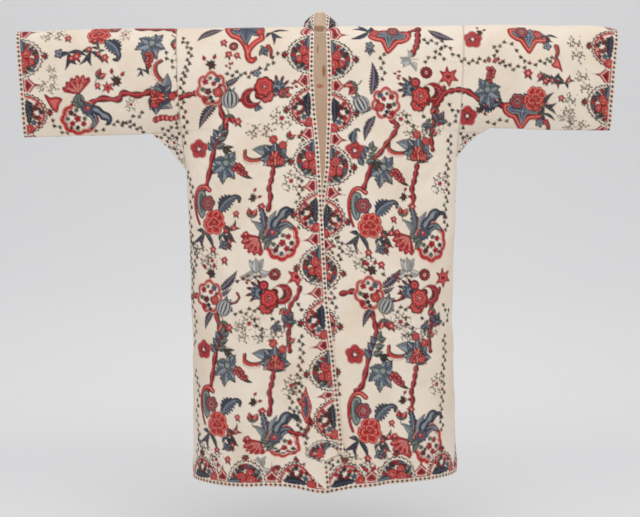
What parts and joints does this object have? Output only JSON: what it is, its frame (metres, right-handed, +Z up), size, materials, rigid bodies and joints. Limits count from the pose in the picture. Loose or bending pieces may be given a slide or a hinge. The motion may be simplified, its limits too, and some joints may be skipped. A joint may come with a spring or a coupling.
{
  "type": "banyan of printed cotton, filled out with no wearer",
  "caption": "Loose T-shaped gown of flowered printed cotton with straight wide sleeves, underarm gussets, lapped open front and small standing neckband, held hollow.",
  "frame": {"origin": "middle of the shoulder fold, in the neck, where the wearer's shoulders carry the gown", "axes": "+X towards the wearer's left cuff along the shoulder fold, +Y from the front to the back, +Z up"},
  "size_m": [1.626, 0.2518, 1.2834],
  "materials": {
    "printed_cotton": "plain-woven cotton printed with flowers, faintly glazed",
    "border_cotton": "plain-woven cotton printed with a border",
    "lining_cotton": "unbleached cotton, matt"
  },
  "bodies": {
    "root": {"front_right": "printed_cotton", "front_left": "printed_cotton", "back_right": "printed_cotton", "back_left": "printed_cotton", "lining_back": "lining_cotton", "sleeve_right": "printed_cotton", "sleeve_left": "printed_cotton", "gusset_right": "printed_cotton", "gusset_left": "printed_cotton", "collar": "border_cotton"}
  },
  "joints": []
}
